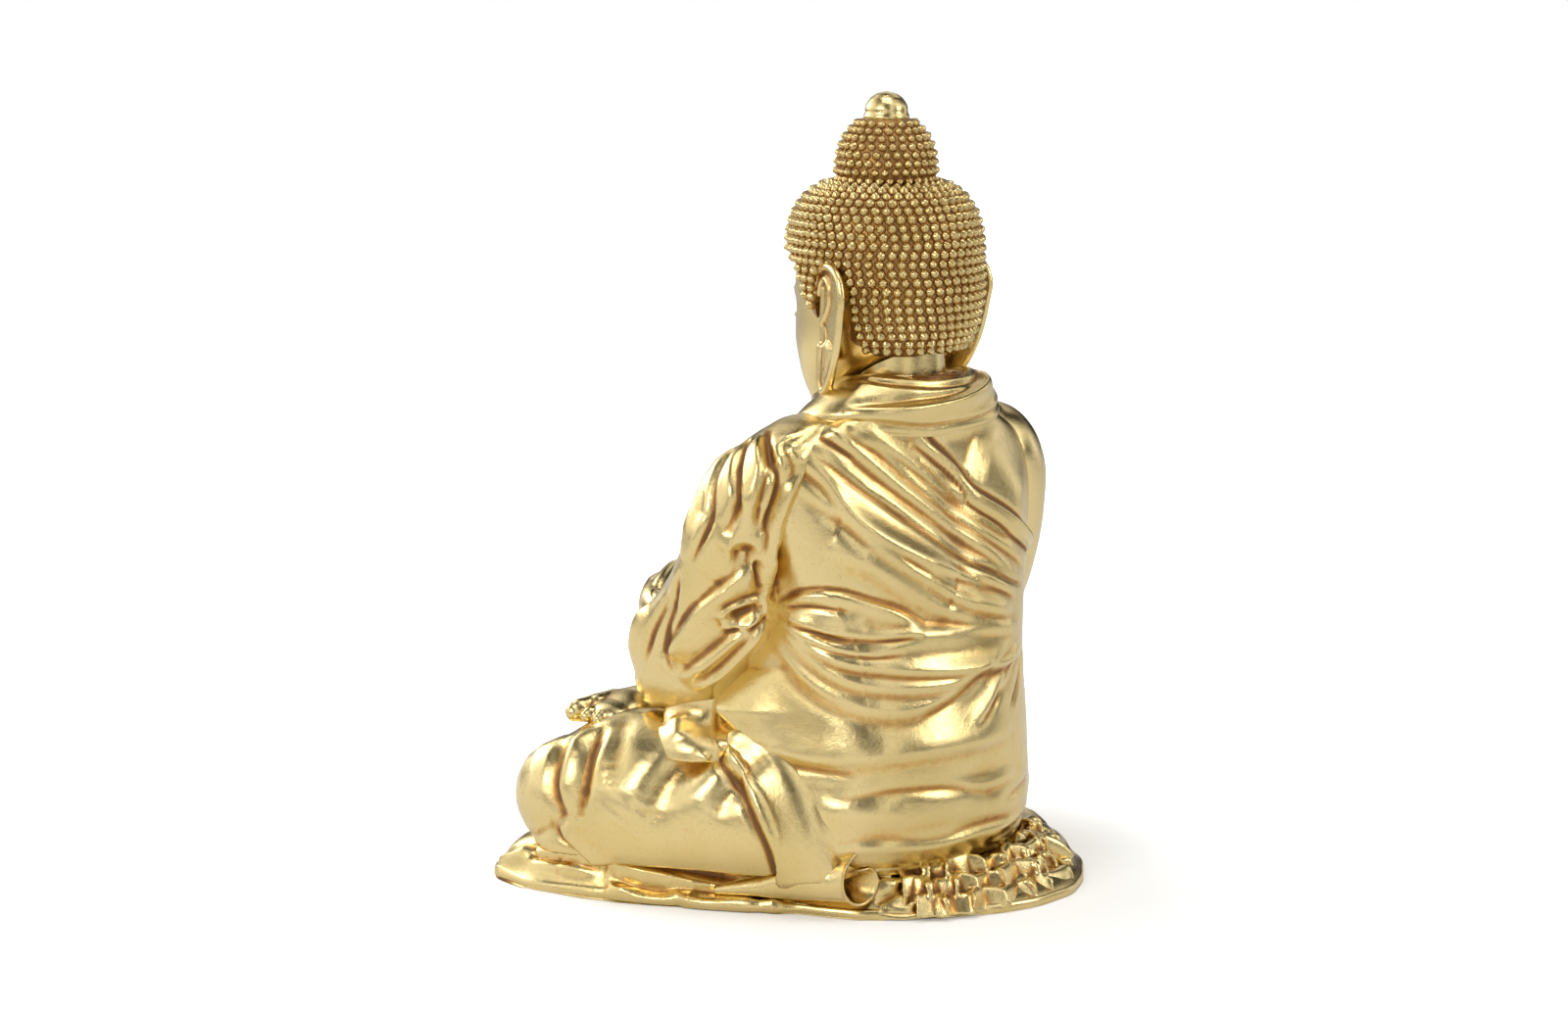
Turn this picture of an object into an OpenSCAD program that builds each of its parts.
// Seated buddha statue: gilded cast shells on a timber base, drawn together by one tie rod.
// +Z is up, the figure faces -Y and its left side is +X. The origin is on the floor under the head.

/* [Figure] */
// Height from the floor to the top of the finial
figure_h = 1000; // [1000:1:1000]
// Wall of the cast shells
wall = 6; // [4:0.5:8]
// Gap left between two shells that meet
seam = 0.5; // [0.3:0.1:1]

/* [Base] */
// Thickness of the felt sheet under the board
felt_t = 2; // [1:0.5:4]
// Thickness of the plywood board that closes the base
board_t = 12; // [9:1:15]
// How far the board's edge stays inside the cloth's edge
board_inset = 22; // [18:1:30]
// Height that the cloth rises to under the figure
cloth_h = 56; // [54:1:58]
// Number of screws round the board
screw_count = 8; // [6:1:12]

/* [Tie rod] */
// Diameter of the threaded tie rod
rod_d = 12; // [10:1:14]
// Diametral clearance of a rod or bolt in its hole
hole_play = 0.8; // [0.4:0.1:1.2]

/* [Head] */
// Radius of the neck
neck_r = 62; // [60:1:64]
// Radius of the topknot at its base
topknot_r = 62; // [58:1:64]
// Radius of the finial
finial_r = 26; // [24:1:27]
// Diameter of the stud that holds the finial
stud_d = 10; // [8:1:12]

/* [Hidden] */
eps = 0.01;
gilt = "gold";
board_z = felt_t;
block_z = board_z + board_t;
lip_z = cloth_h - 7;
rod_xy = [0, 10];
rod_low = 6;
rod_high = 640;
bar_h = 12;
bar_z = lip_z - bar_h - 0.5;
neck_y = 20;
neck_foot_z = 612;
head_foot_z = 592;
topknot_z = 884;
finial_z = 955;
pin_r = 5;

// ---- curves and surfaces ----

// A key table's rows start with the height or distance that they hold at.
function slope(keys, i) =
    i == 0 ? (keys[1] - keys[0]) / (keys[1][0] - keys[0][0]) :
    i == len(keys) - 1 ? (keys[i] - keys[i - 1]) / (keys[i][0] - keys[i - 1][0]) :
    (keys[i + 1] - keys[i - 1]) / (keys[i + 1][0] - keys[i - 1][0]);
function span(keys, t, i = 0) = i >= len(keys) - 2 || t <= keys[i + 1][0] ? i : span(keys, t, i + 1);
function row(keys, t) =
    let (i = span(keys, t), h = keys[i + 1][0] - keys[i][0], s = (t - keys[i][0]) / h)
    keys[i] * (2 * pow(s, 3) - 3 * pow(s, 2) + 1) + slope(keys, i) * h * (pow(s, 3) - 2 * pow(s, 2) + s) +
    keys[i + 1] * (3 * pow(s, 2) - 2 * pow(s, 3)) + slope(keys, i + 1) * h * (pow(s, 3) - pow(s, 2));
function steps(from, to, count) = [for (i = [0:count]) from + (to - from) * i / count];

// One level ring: a rounded rectangle of half widths a and b, turned about its own centre.
function ring(z, x, y, a, b, turn, square, n) =
    [for (j = [0:n - 1])
        let (t = 360 * j / n, p = 2 / square,
            u = a * sign(cos(t)) * pow(abs(cos(t)), p), v = b * sign(sin(t)) * pow(abs(sin(t)), p))
        [x + u * cos(turn) - v * sin(turn), y + u * sin(turn) + v * cos(turn), z]];
// Level rings from a table of [z, x, y, a, b, turn], all grown by the same amount.
function rings(keys, from, to, count, grow = 0, square = 2.3, n = 40) =
    [for (z = steps(from, to, count)) let (k = row(keys, z))
        ring(z, k[1], k[2], max(k[3] + grow, 1), max(k[4] + grow, 1), k[5], square, n)];
function reversed(list) = [for (i = [len(list) - 1:-1:0]) list[i]];
function mean(points) = [for (a = [0:2]) [for (p = points) p[a]] * [for (p = points) 1] / len(points)];
// A closed curve through points in plan.
function closed_curve(points, n) =
    [for (i = [0:len(points) - 1], k = [0:n - 1])
        let (c = len(points), s = k / n,
            p0 = points[(i + c - 1) % c], p1 = points[i], p2 = points[(i + 1) % c], p3 = points[(i + 2) % c])
        (2 * p1 + (p2 - p0) * s + (2 * p0 - 5 * p1 + 4 * p2 - p3) * pow(s, 2) +
            (3 * p1 - p0 - 3 * p2 + p3) * pow(s, 3)) / 2];
function inset(points, by, centre) =
    [for (p = points) let (d = p - centre) centre + d * (1 - by / norm(d))];
function lifted(points, z) = [for (p = points) [p[0], p[1], z]];

function band(i, k, j, m) = let (l = (j + 1) % m)
    [[i * m + j, k * m + j, k * m + l], [i * m + j, k * m + l, i * m + l]];
// A solid through rings, closed by a fan over the first and the last.
module skin(sections) {
    m = len(sections[0]);
    n = len(sections);
    points = concat([for (s = sections) each s], [mean(sections[0]), mean(sections[n - 1])]);
    polyhedron(points, concat(
        [for (i = [0:n - 2], j = [0:m - 1]) each band(i, i + 1, j, m)],
        [for (j = [0:m - 1]) [n * m, j, (j + 1) % m]],
        [for (j = [0:m - 1]) [n * m + 1, (n - 1) * m + (j + 1) % m, (n - 1) * m + j]]));
}
// A solid whose last ring joins its first, such as a tube wall or a frame.
module loop_skin(sections) {
    m = len(sections[0]);
    n = len(sections);
    polyhedron([for (s = sections) each s],
        [for (i = [0:n - 1], j = [0:m - 1]) each band(i, (i + 1) % n, j, m)]);
}
// A limb as a chain of rounded lengths between balls [x, y, z, r].
module chain(balls, fn = 20) {
    for (i = [0:len(balls) - 2]) hull() for (b = [balls[i], balls[i + 1]])
        translate([b[0], b[1], b[2]]) sphere(b[3], $fn = fn);
}
module at_points(points) for (p = points) translate(p) children();

// ---- tables of the figure's masses: [z, x, y, half width, half depth, turn] ----

TORSO = [
    [50, 0, 4, 156, 124, 0], [66, 0, 5, 172, 141, 0], [90, 0, 6, 184, 151, 0], [140, 0, 7, 189, 152, 0],
    [200, 0, 8, 188, 149, 0], [300, 0, 12, 180, 139, 0], [380, -2, 11, 186, 133, 0], [450, -4, 6, 204, 123, 0],
    [510, -5, 2, 217, 110, 0], [550, -3, 6, 211, 96, 0], [580, 0, 12, 191, 86, 0], [600, 0, 18, 161, 84, 0],
    [620, 0, 22, 121, 84, 0], [636, 0, 24, 96, 78, 0], [648, 0, 24, 80, 72, 0]
];
SLEEVE = [
    [234, 208, -150, 16, 42, 14], [252, 208, -145, 34, 60, 14], [290, 206, -132, 50, 82, 14],
    [340, 204, -112, 60, 102, 12], [400, 208, -76, 64, 84, 10], [460, 216, -46, 64, 68, 5],
    [510, 210, -28, 62, 66, 0], [550, 192, -12, 56, 60, 0], [580, 166, 5, 38, 46, 0], [594, 154, 10, 16, 24, 0]
];
HEAD = [
    [600, 0, -68, 22, 20, 0], [616, 0, -58, 52, 46, 0], [640, 0, -42, 72, 70, 0], [680, 0, -22, 86, 92, 0],
    [730, 0, -10, 94, 107, 0], [780, 0, -4, 96, 111, 0], [830, 0, 0, 85, 98, 0], [862, 0, 0, 52, 56, 0]
];
HAIR = [
    [690, 0, 42, 70, 58, 0], [700, 0, 32, 84, 76, 0], [740, 0, 12, 106, 110, 0], [790, 0, 2, 114, 122, 0],
    [830, 0, 0, 115, 122, 0], [864, 0, 0, 104, 108, 0], [884, 0, 2, 82, 84, 0], [892, 0, 2, 64, 64, 0]
];
CLOTH_PLAN = [
    [0, -402], [150, -404], [262, -402], [334, -372], [352, -300], [322, -196], [252, -78], [186, 30],
    [140, 108], [60, 172], [-70, 214], [-158, 196], [-244, 120], [-296, 0], [-330, -120], [-358, -250],
    [-346, -366], [-266, -402], [-150, -404]
];
LAP_PLAN = [
    [0, -322], [120, -346], [222, -352], [312, -330], [366, -262], [350, -184], [290, -85], [224, 10],
    [172, 84], [80, 120], [-80, 120], [-172, 84], [-224, 10], [-290, -85], [-350, -184], [-366, -262],
    [-312, -330], [-222, -352], [-120, -346]
];
cloth_centre = [0, -100];
lap_centre = [0, -130];
cloth_edge = closed_curve(CLOTH_PLAN, 3);
board_edge = inset(cloth_edge, board_inset, cloth_centre);
// The legs under the robe: thighs and crossed shins, as balls [x, y, z, r].
LEGS = [
    [[72, 60, 112, 86], [132, 0, 113, 92], [208, -130, 113, 104], [262, -236, 113, 103], [292, -300, 106, 66]],
    [[-86, 60, 112, 86], [-132, 0, 113, 92], [-206, -130, 113, 104], [-260, -236, 113, 103], [-288, -300, 106, 66]],
    [[255, -262, 92, 72], [150, -300, 82, 70], [0, -306, 80, 66], [-130, -300, 80, 64]],
    [[-255, -262, 92, 72], [-150, -296, 96, 68], [0, -272, 122, 62], [120, -246, 150, 48]]
];
// Height of one rounded length over a point in plan, and of all the legs together.
function over(p, a, b) =
    let (d = [b[0] - a[0], b[1] - a[1]], t = max(0, min(1, ((p - [a[0], a[1]]) * d) / (d * d))),
        r = a[3] + (b[3] - a[3]) * t, s = norm(p - [a[0], a[1]] - d * t))
    s < r ? a[2] + (b[2] - a[2]) * t + sqrt(r * r - s * s) : 0;
function legs_over(p) = max([for (l = LEGS, i = [0:len(l) - 2]) over(p, l[i], l[i + 1])]);
screw_ring = [for (i = [0:screw_count - 1])
    let (e = board_edge[floor(len(board_edge) * (i + 0.5) / screw_count)], d = e - cloth_centre)
    cloth_centre + d * (1 - 27 / norm(d))];
lap_ring = [for (i = [2, 5, 15, 17]) let (e = cloth_edge[3 * i], d = e - cloth_centre)
    cloth_centre + d * (1 - 124 / norm(d))];

// ---- base ----

module base_felt() {
    color("darkslategray") linear_extrude(felt_t) polygon(board_edge);
}
module base_board() {
    color("burlywood") difference() {
        translate([0, 0, board_z]) linear_extrude(board_t) polygon(board_edge);
        for (p = screw_ring) translate([p[0], p[1], 0]) {
            translate([0, 0, board_z - 1]) cylinder(h = board_t + 2, r = 2.5, $fn = 24);
            translate([0, 0, board_z - eps]) cylinder(h = 4, r1 = 5, r2 = 2.4, $fn = 24);
        }
        translate([rod_xy[0], rod_xy[1], 0]) cylinder(h = 40, r = 16, $fn = 48);
    }
}
// A countersunk wood screw, head down, with a cross recess.
module wood_screw(length) {
    difference() {
        union() {
            cylinder(h = 3.2, r1 = 4.6, r2 = 2.1, $fn = 24);
            translate([0, 0, 3.2 - eps]) cylinder(h = length - 3.2, r = 2.1, $fn = 24);
        }
        for (t = [0, 90]) rotate(t) translate([-2.4, -0.45, -1]) cube([4.8, 0.9, 2.6]);
    }
}
module base_screws() {
    color("silver") for (p = screw_ring) translate([p[0], p[1], board_z + 0.3]) wood_screw(22);
}
// Timber blocks bonded inside the cloth's rim, which take the board's screws.
module screw_blocks() {
    color("peru") for (p = screw_ring) translate([p[0], p[1], block_z]) difference() {
        translate([-13, -13, 0]) cube([26, 26, 11]);
        translate([0, 0, -1]) cylinder(h = 13, r = 2.15, $fn = 24);
    }
}
function cloth_level(by, z) = lifted(inset(cloth_edge, by, cloth_centre), z);
// The cloth rises from a thin rim to a level lip that the figure sits on.
module ground_cloth() {
    color(gilt) difference() {
        loop_skin([
            cloth_level(5, 0), cloth_level(0, 3), cloth_level(0, 12), cloth_level(9, 28), cloth_level(26, 43),
            cloth_level(50, 52), cloth_level(76, cloth_h), cloth_level(150, cloth_h), cloth_level(150, lip_z),
            cloth_level(78, lip_z), cloth_level(54, 45), cloth_level(34, 35),
            cloth_level(board_inset - 1, 20), cloth_level(board_inset - 1, 0)
        ]);
        roll_mass(seam);
        for (p = lap_ring) translate([p[0], p[1], 30]) {
            cylinder(h = 40, r = 2.5, $fn = 24);
            translate([0, 0, lip_z - 30 - 6]) cylinder(h = 6 + 3.4, r1 = 5, r2 = 5, $fn = 24);
        }
    }
}
// The turned back corner of the cloth: a flared roll, open at its wide end.
roll_line = [[218, -30, 24, 7], [196, 8, 27, 14], [172, 46, 32, 22], [150, 82, 36, 29], [138, 108, 38, 35]];
function roll_hoop(t, grow) =
    let (i = min(3, floor(t)), k = roll_line[i] + (roll_line[i + 1] - roll_line[i]) * (t - i), r = k[3] + grow)
    [for (j = [0:27]) let (a = 360 * j / 28) [k[0] + 0.9 * r * cos(a), k[1] + 0.5 * r * cos(a), k[2] + r * sin(a)]];
module roll_mass(grow = 0) skin([for (t = [4:-0.5:0]) roll_hoop(t, grow)]);
module cloth_roll() {
    color(gilt) difference() {
        skin(concat([for (t = [1.2:0.4:4]) roll_hoop(t, -5)], [for (t = [4:-0.5:0]) roll_hoop(t, 0)]));
        union() {
            torso_mass(seam);
            lap_solid(seam);
            translate([0, 0, -1]) linear_extrude(lip_z + 1)
                polygon(inset(cloth_edge, board_inset - 1.5, cloth_centre));
        }
    }
}
// The gathered end of the cloth: tucks that stand side by side round the back corner.
tuck_line = [
    [96, 166], [74, 180], [52, 187], [26, 197], [2, 203], [-24, 211], [-50, 212], [-76, 214], [-100, 206],
    [-124, 203], [-146, 191], [-168, 182], [-188, 162], [-206, 148], [-222, 126], [-236, 110]
];
module cloth_frill() {
    color(gilt) difference() {
        union() for (i = [0:len(tuck_line) - 1])
            let (p = tuck_line[i], d = cloth_centre - p, u = d / norm(d), odd = i % 2)
            hull() {
                translate([p[0] + 8 * u[0], p[1] + 8 * u[1], 22 + 4 * odd]) sphere(11, $fn = 8);
                translate([p[0] + 30 * u[0], p[1] + 30 * u[1], 48 + 8 * odd]) sphere(13, $fn = 8);
            }
        union() {
            torso_mass(seam);
            lap_solid(seam);
            skin([
                cloth_level(5 - seam, -1), cloth_level(-seam, 3), cloth_level(-seam, 12), cloth_level(9 - seam, 28),
                cloth_level(26, 43 + seam), cloth_level(50, 52 + seam), cloth_level(76, cloth_h + seam)
            ]);
        }
    }
}

// ---- body ----

// Above the armpits every level leans, so the neckline is lower in front than behind.
function leaned(sections) =
    [for (s = sections) [for (p = s)
        [p[0], p[1], p[2] - 0.42 * max(0, min(1, (p[2] - 560) / 80)) * (108 - p[1])]]];
torso_levels = [
    cloth_h + seam, 72, 100, 150, 210, 270, 330, 380, 420, 460, 500, 530, 552, 568, 582, 592, 602, 612, 622, 632,
    642
];
function torso_rings(grow) =
    leaned([for (z = torso_levels) let (k = row(TORSO, z))
        ring(z, k[1], k[2], k[3] + grow, k[4] + grow, 0, 2.3, 36)]);
module torso_mass(grow = 0) skin(torso_rings(grow));
lap_edge = closed_curve(LAP_PLAN, 3);
// Rings of the lap from its foot over its edge and in towards its middle.
function lap_rings(low, grow) =
    let (edge = inset(lap_edge, -grow, lap_centre))
    concat([lifted(inset(edge, 14, lap_centre), low), lifted(inset(edge, 3, lap_centre), low + 24),
        lifted(edge, 100)],
        [for (k = [0.97, 0.92, 0.86, 0.78, 0.68, 0.57, 0.45, 0.32, 0.18, 0.06])
            [for (p = lap_edge) let (q = lap_centre + (p - lap_centre) * k)
                [lap_centre[0] + (p[0] - lap_centre[0]) * k * (1 + grow / 300),
                    lap_centre[1] + (p[1] - lap_centre[1]) * k * (1 + grow / 300),
                    max(legs_over(q), 132 - 60 * pow(k, 4)) + grow]]]);
module lap_solid(grow = 0) skin(lap_rings(cloth_h, grow));
// The crossed legs under the robe. The torso stands in the gap behind them.
module lap_shell() {
    color(gilt) difference() {
        skin(concat(reversed(lap_rings(cloth_h + seam, -wall)), lap_rings(cloth_h + seam, 0)));
        torso_mass(seam);
        translate([190, -238, 150]) cylinder(h = 90, r = 4.2, $fn = 24);
    }
}
// The trunk under the robe, open below, with a ledge inside the shoulders for the neck.
module torso_shell() {
    ledge_z = head_foot_z - seam;
    function hole(z) = ring(z, 0, neck_y, 46, 46, 0, 2, 36);
    function inner(from, to, count) = reversed(leaned(rings(TORSO, from, to, count, -wall, 2.3, 36)));
    color(gilt) difference() {
        loop_skin(concat(
            torso_rings(0), inner(ledge_z, 642, 3), [hole(ledge_z), hole(ledge_z - 9)],
            inner(cloth_h + seam, ledge_z - 9, 10)));
        arm_bores(pin_r - 0.6);
    }
}
// Bolts from inside the trunk that hold the arms: [x of the trunk's side, y, z].
ARM_BOLTS = [[204, -10, 468], [211, -8, 518], [-205, -14, 440], [-219, -8, 500]];
module at_arm_bolts(inset) for (b = ARM_BOLTS)
    translate([b[0] - sign(b[0]) * inset, b[1], b[2]]) rotate([0, sign(b[0]) * 90, 0]) children();
module arm_bores(r) at_arm_bolts(20) cylinder(h = 46, r = r, $fn = 24);
module arm_bolts() {
    color("silver") at_arm_bolts(wall + 10) hex_bolt(8, 32);
}
module left_sleeve() {
    color(gilt) difference() {
        skin(rings(SLEEVE, 234, 594, 14, 0, 2.3, 28));
        union() {
            torso_mass(seam);
            lap_solid(seam);
            tail_mass(seam);
            foot_mass(seam);
            collar_mass(2 * seam);
            arm_bores(pin_r - 0.9);
        }
        skin(rings(SLEEVE, 266, 420, 5, -wall - 4, 2.3, 20));
        pin_bore([175, -190, 341], [167, -256, 344.3]);
    }
}
// The end of the sleeve, which pools on the thigh.
module tail_mass(grow = 0) hull() {
    translate([204, -116, 190]) cylinder(h = 40 + grow, r1 = 62 + grow, r2 = 46 + grow, $fn = 32);
    translate([196, -60, 190]) cylinder(h = 34 + grow, r1 = 46 + grow, r2 = 20 + grow, $fn = 32);
}
module sleeve_tail() {
    color(gilt) difference() {
        tail_mass();
        union() {
            lap_solid(seam);
            torso_mass(seam);
            foot_mass(seam);
        }
    }
}
right_limb = [
    [-160, 2, 552, 50], [-182, -4, 520, 62], [-198, -14, 460, 60], [-212, -28, 390, 52], [-218, -50, 320, 46],
    [-212, -80, 292, 42], [-190, -130, 300, 37], [-168, -176, 334, 31], [-158, -196, 366, 27]
];
module right_arm() {
    color(gilt) difference() {
        chain(right_limb, 18);
        union() {
            torso_mass(seam);
            collar_mass(2 * seam);
            arm_bores(pin_r - 0.9);
            translate([-300, -300, wrist_z - seam]) cube([300, 140, 60]);
            pin_bore([-158, -196, 340], [-157, -200, 430]);
        }
    }
}

// ---- hands and foot: every finger is a list of balls from knuckle to tip ----

wrist_z = 372;
// A hole for a dowel, a little wider than the dowel and open at both ends.
module pin_bore(a, b) {
    d = b - a;
    translate(a) rotate([0, acos(d[2] / norm(d)), atan2(d[1], d[0])])
        cylinder(h = norm(d), r = pin_r + 0.2, $fn = 24);
}
module pin_between(a, b) {
    d = b - a;
    translate(a) rotate([0, acos(d[2] / norm(d)), atan2(d[1], d[0])]) cylinder(h = norm(d), r = pin_r, $fn = 32);
}
left_fingers = [for (i = [0:3]) let (z = 364 - 15 * i)
    [[138, -282, z, 9.5], [108, -302, z + 1, 8.5], [78, -294, z + 1, 7.5], [62, -276, z, 6.5]]];
module left_hand() {
    color(gilt) difference() {
        union() {
            hull() for (b = [[174, -222, 342, 23], [164, -250, 341, 21], [142, -276, 360, 13], [142, -276, 323, 13]])
                translate([b[0], b[1], b[2]]) sphere(b[3], $fn = 14);
            for (f = left_fingers) chain(f, 9);
            chain([[158, -248, 358, 12], [130, -262, 378, 10], [100, -276, 384, 8]], 9);
        }
        union() {
            skin(rings(SLEEVE, 234, 594, 14, seam, 2.3, 28));
            pin_bore([175, -190, 341], [167, -256, 344.3]);
        }
    }
}
right_fingers = [for (i = [0:2]) let (x = -174 + 15 * i)
    [[x, -214, 452, 9.5], [x, -222, 488, 8.5], [x, -228, 512, 7.5], [x, -230, 528, 6.5]]];
module right_hand() {
    color(gilt) difference() {
        union() {
            hull() for (b = [[-157, -200, 376, 24], [-172, -212, 444, 14], [-136, -212, 446, 14]])
                translate([b[0], b[1], b[2]]) sphere(b[3], $fn = 14);
            for (f = right_fingers) chain(f, 9);
            chain([[-132, -214, 450, 9.5], [-126, -240, 478, 8.5], [-122, -262, 468, 7]], 9);
            chain([[-142, -212, 412, 13], [-124, -238, 436, 10], [-120, -258, 456, 8]], 9);
        }
        union() {
            translate([-300, -300, wrist_z - 60]) cube([300, 200, 60]);
            pin_bore([-158, -196, 340], [-157, -200, 430]);
        }
    }
}
// Dowels that hold the hands to the arms.
module wrist_pins() {
    color("silver") {
        pin_between([173.8, -200, 341.5], [167.6, -251, 344.05]);
        pin_between([-157.9, -196.45, 350], [-157.1, -199.6, 422]);
    }
}
// The right foot, sole up on the left thigh, its toes over the knee.
toes = [
    [[250, -277, 226, 17], [268, -284, 222, 15], [278, -286, 220, 12]],
    [[254, -256, 224, 11], [268, -259, 219, 9.5], [274, -260, 217, 8]],
    [[252, -238, 222, 10], [266, -240, 217, 9], [271, -241, 215, 8]],
    [[248, -221, 221, 10], [262, -222, 216, 9], [267, -222, 214, 8]],
    [[242, -205, 219, 9.5], [255, -205, 215, 8.5], [260, -205, 214, 7.5]]
];
ball_of_foot = [[240, -274, 226, 24], [240, -212, 224, 21]];
instep = [[170, -262, 228, 29], [170, -206, 226, 27]];
heel = [[84, -224, 226, 30]];
module foot_mass(grow = 0) {
    hull() for (b = concat(ball_of_foot, instep)) translate([b[0], b[1], b[2]]) sphere(b[3] + grow, $fn = 16);
    hull() for (b = concat(instep, heel)) translate([b[0], b[1], b[2]]) sphere(b[3] + grow, $fn = 16);
}
module right_foot() {
    color(gilt) difference() {
        union() {
            foot_mass();
            for (t = toes) chain(t, 12);
        }
        union() {
            lap_solid(seam);
            translate([190, -238, 190]) cylinder(h = 42, r = 4.2, $fn = 24);
        }
    }
}
module hex_bolt(d, length) {
    cylinder(h = 0.65 * d, r = 0.95 * d, $fn = 6);
    translate([0, 0, 0.65 * d - eps]) cylinder(h = length, r = d / 2, $fn = 24);
}
foot_bolt_z = legs_over([190, -238]) - wall - 5.2 - 7;
module foot_bolt() {
    color("silver") translate([190, -238, foot_bolt_z]) hex_bolt(8, 34);
}

// ---- collar, head and hair ----

COLLAR = [
    [606, 0, 16, 156, 90, 0], [620, 0, 22, 142, 98, 0], [630, 0, 24, 122, 98, 0], [642, 0, 25, 100, 90, 0],
    [654, 0, 24, 82, 80, 0]
];
module collar_mass(grow = 0) skin(leaned(rings(COLLAR, 606, 656, 5, grow, 2.3, 36)));
module collar_fold() {
    color(gilt) difference() {
        collar_mass();
        union() {
            torso_mass(seam);
            skin(leaned([
                ring(590, 0, 22, 70, 68, 0, 2.1, 36), ring(620, 0, 22, 69, 67, 0, 2.1, 36),
                ring(680, 0, 22, 76, 74, 0, 2.1, 36)
            ]));
            head_mass(2);
        }
    }
}
peg_bore_r = 4.1;
module head_mass(grow = 0) skin(rings(HEAD, 600, 862 + grow, 14, grow, 2.1, 36));
module at_ball(b) translate([b[0], b[1], b[2]]) sphere(b[3], $fn = 10);
// Brows, lowered lids, nose, lips and chin, laid out on thirds of the face.
module face_mass() {
    hull() {
        at_ball([0, -112, 742, 8]);
        at_ball([0, -126, 690, 10]);
    }
    for (s = [-1, 1]) {
        hull() {
            at_ball([0, -122, 687, 10]);
            at_ball([s * 13, -115, 686, 8]);
        }
        hull() {
            at_ball([s * 10, -113, 745, 6]);
            at_ball([s * 38, -107, 756, 6.5]);
        }
        hull() {
            at_ball([s * 38, -107, 756, 6.5]);
            at_ball([s * 66, -88, 747, 5.5]);
        }
        translate([s * 37, -102, 725]) rotate([0, 0, s * 14]) scale([1.9, 1, 0.75]) sphere(13, $fn = 12);
        hull() {
            at_ball([0, -112, 664, 7]);
            at_ball([s * 24, -108, 663, 5]);
        }
        hull() {
            at_ball([0, -109, 652, 9]);
            at_ball([s * 18, -103, 656, 6]);
        }
    }
    at_ball([0, -91, 624, 22]);
}
module head_shell() {
    color(gilt) difference() {
        union() {
            head_mass();
            face_mass();
            translate([0, neck_y, head_foot_z]) cylinder(h = 120, r = neck_r, $fn = 48);
        }
        skin(rings(HEAD, 668, 850, 8, -wall, 2.1, 24));
        translate([0, 2, 800]) cylinder(h = 100, r = (stud_d + hole_play) / 2, $fn = 32);
        translate([-110, 20, 740]) rotate([0, 90, 0]) cylinder(h = 220, r = peg_bore_r, $fn = 24);
        translate([0, neck_y, head_foot_z - 1]) cylinder(h = 110, r = neck_r - wall, $fn = 48);
    }
}
module ear(side) {
    outline = [
        [[-8, 776], [8, 774, 8]], [[0, 762], [15, 762, 8]], [[6, 742], [20, 744, 8]], [[4, 715], [18, 718, 7]],
        [[2, 685], [14, 686, 7]], [[-4, 655], [8, 655, 7]], [[-4, 638], [4, 638, 6]]
    ];
    for (i = [0:len(outline) - 2]) hull() for (o = [outline[i], outline[i + 1]]) {
        translate([side * 99, 8 + o[0][0], o[0][1]]) sphere(6, $fn = 12);
        translate([side * 109, 8 + o[1][0], o[1][1]]) sphere(o[1][2], $fn = 12);
    }
}
// The gap in the hair that an ear stands in.
module ear_gap(side) hull() for (p = [[12, 764, 26], [18, 744, 24], [8, 640, 24]])
    translate([side * 70, p[0], p[1]]) rotate([0, side * 90, 0]) cylinder(h = 60, r = p[2], $fn = 32);
module left_ear() {
    color(gilt) difference() {
        ear(1);
        union() {
            head_mass(seam);
            translate([86, 20, 740]) rotate([0, 90, 0]) cylinder(h = 22, r = peg_bore_r, $fn = 24);
        }
    }
}
module right_ear() mirror([1, 0, 0]) left_ear();
module ear_pegs() {
    color("silver") for (s = [-1, 1]) translate([s * 86, 20, 740]) rotate([0, s * 90, 0])
        cylinder(h = 21, r = 4, $fn = 24);
}
module hair_mass(grow = 0) skin(rings(HAIR, 690 - grow, 892, 10, grow, 2.1, 40));
// The hair, a cap cut back from the face and the ears.
module hair_cap() {
    color(gilt) difference() {
        hair_mass();
        union() {
            head_mass(seam);
            translate([0, neck_y, 600]) cylinder(h = 120, r = neck_r + seam, $fn = 48);
            translate([0, -122, 666]) rotate([0, 90, 0]) cylinder(h = 300, r = 146, center = true, $fn = 48);
            ear_gap(1);
            ear_gap(-1);
            translate([0, 2, 800]) cylinder(h = 100, r = (stud_d + hole_play) / 2, $fn = 32);
        }
    }
}
// A revolved dome with a flat foot and a hollow under it.
module topknot() {
    color(gilt) translate([0, 2, topknot_z + 8 + seam]) difference() {
        rotate_extrude($fn = 64) polygon([
            [0, 0], [topknot_r - 4, 0], [topknot_r, 8], [topknot_r + 1, 24], [topknot_r - 3, 44],
            [topknot_r - 14, 62], [finial_r + 6, 74], [finial_r, 78], [0, 78]]);
        translate([0, 0, -1]) cylinder(h = 50, r = topknot_r - 16, $fn = 48);
        translate([0, 0, -1]) cylinder(h = 91, r = (stud_d + hole_play) / 2, $fn = 32);
    }
}
finial_foot = topknot_z + 8 + seam + 78;
module finial() {
    tall = figure_h - finial_foot;
    color(gilt) translate([0, 2, finial_foot]) difference() {
        rotate_extrude($fn = 64) polygon(concat([[0, 0]],
            [for (t = [0:10:90]) [finial_r * cos(t), 4 + (tall - 4) * sin(t)]], [[0, tall]], []));
        translate([0, 0, -1]) cylinder(h = 15, r = (stud_d + 0.1) / 2, $fn = 32);
    }
}
module finial_stud() {
    color("silver") translate([0, 2, 834]) cylinder(h = finial_foot + 13 - 834, r = stud_d / 2, $fn = 32);
}
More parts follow.
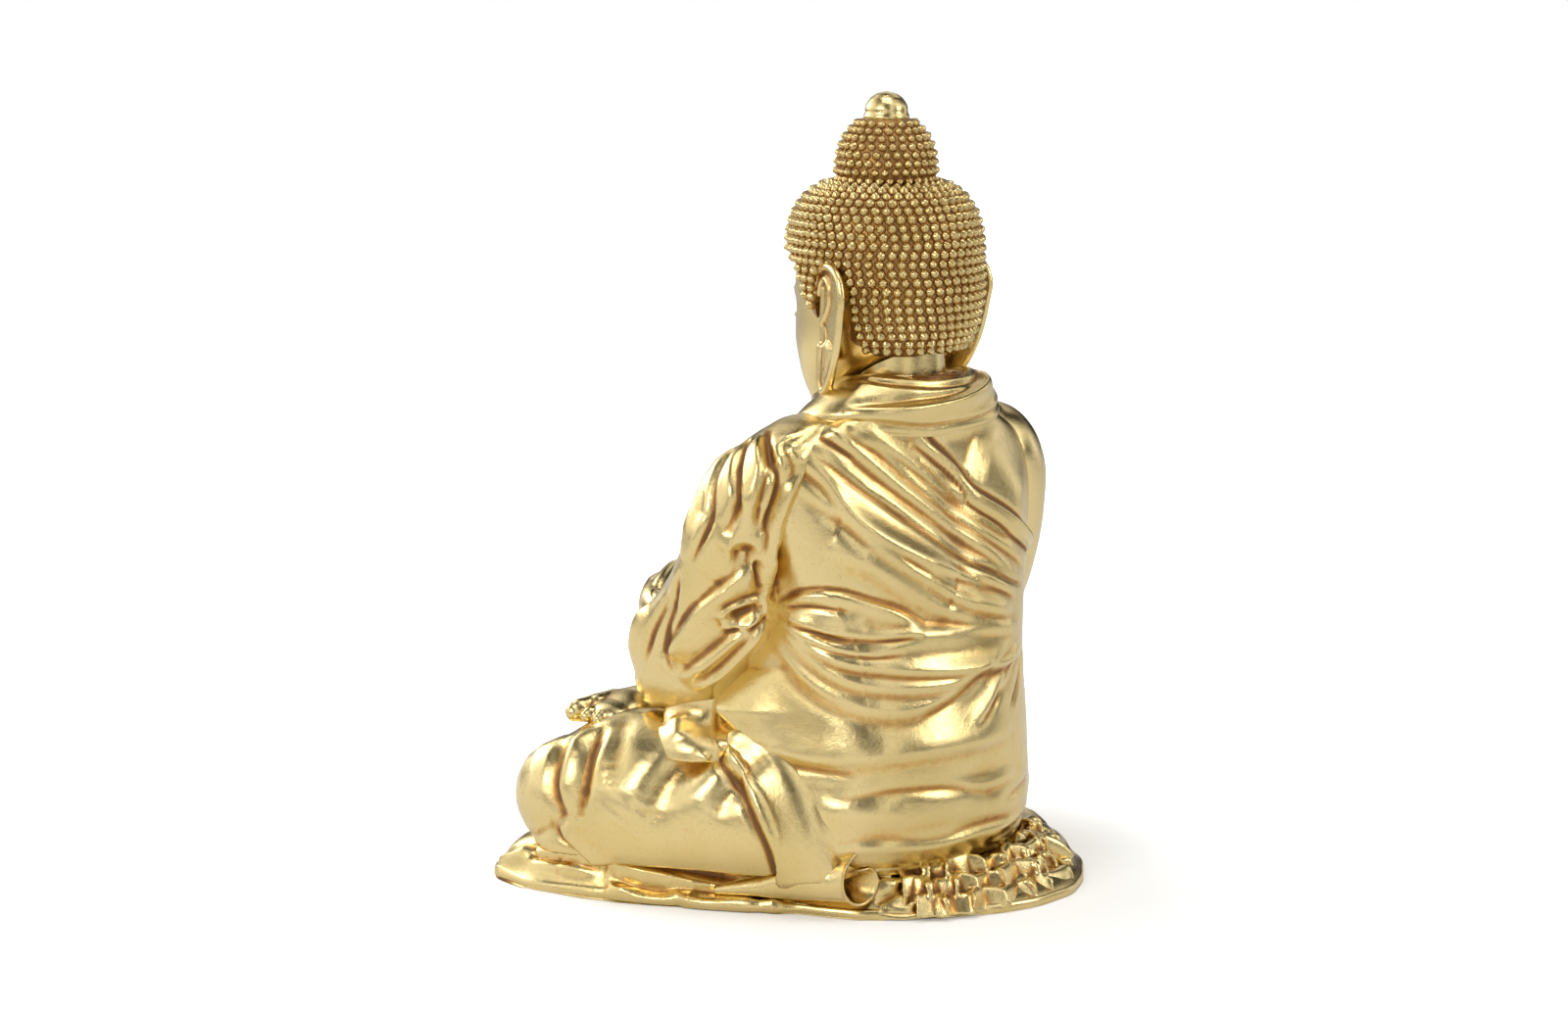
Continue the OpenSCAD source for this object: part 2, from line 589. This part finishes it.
module hex_nut(d) {
    difference() {
        cylinder(h = 0.8 * d, r = 0.95 * d, $fn = 6);
        translate([0, 0, -1]) cylinder(h = d + 2, r = d / 2 + 0.05, $fn = 32);
    }
}
module stud_nut() {
    color("silver") translate([0, 2, 849.5 - 0.8 * stud_d]) hex_nut(stud_d);
}

// ---- tie rod ----

// A disc bonded in the neck, which the rod pulls down on.
module neck_plate() {
    color("silver") translate([0, neck_y, neck_foot_z]) difference() {
        cylinder(h = 8, r = neck_r - wall - 0.3, $fn = 64);
        translate([rod_xy[0], rod_xy[1] - neck_y, -1]) cylinder(h = 10, r = (rod_d + hole_play) / 2, $fn = 32);
    }
}
// A timber bar across the opening in the cloth, under its inner lip.
module cross_bar() {
    color("burlywood") difference() {
        translate([-50, -300, bar_z]) cube([100, 385, bar_h]);
        translate([rod_xy[0], rod_xy[1], 0]) cylinder(h = 90, r = (rod_d + hole_play) / 2, $fn = 32);
    }
}
module tie_rod() {
    color("silver") translate([rod_xy[0], rod_xy[1], rod_low]) cylinder(h = rod_high - rod_low, r = rod_d / 2, $fn = 32);
}
washer_t = 2;
module rod_nuts() {
    color("silver") {
        translate([rod_xy[0], rod_xy[1], bar_z - washer_t - 0.8 * rod_d]) hex_nut(rod_d);
        translate([rod_xy[0], rod_xy[1], neck_foot_z + 8 + washer_t]) hex_nut(rod_d);
    }
}
module rod_washers() {
    color("silver") for (z = [bar_z - washer_t, neck_foot_z + 8])
        translate([rod_xy[0], rod_xy[1], z]) difference() {
            cylinder(h = washer_t, r = rod_d, $fn = 48);
            translate([0, 0, -1]) cylinder(h = 5, r = (rod_d + hole_play) / 2, $fn = 32);
        }
}
// Blocks bonded in the lap shell, and the screws that hold it down on the cloth's lip.
module lap_blocks() {
    color("peru") for (p = lap_ring) translate([p[0], p[1], cloth_h + seam]) difference() {
        translate([-16, -16, 0]) cube([32, 32, 24]);
        translate([0, 0, -1]) cylinder(h = 20, r = 2.1, $fn = 24);
    }
}
module lap_screws() {
    color("silver") for (p = lap_ring) translate([p[0], p[1], lip_z - 0.2]) wood_screw(26);
}

base_felt();
base_board();
base_screws();
screw_blocks();
ground_cloth();
cloth_roll();
cloth_frill();
lap_shell();
torso_shell();
left_sleeve();
sleeve_tail();
right_arm();
left_hand();
right_hand();
wrist_pins();
right_foot();
foot_bolt();
collar_fold();
head_shell();
left_ear();
right_ear();
ear_pegs();
hair_cap();
topknot();
finial();
finial_stud();
stud_nut();
neck_plate();
cross_bar();
tie_rod();
rod_nuts();
rod_washers();
lap_blocks();
lap_screws();
arm_bolts();
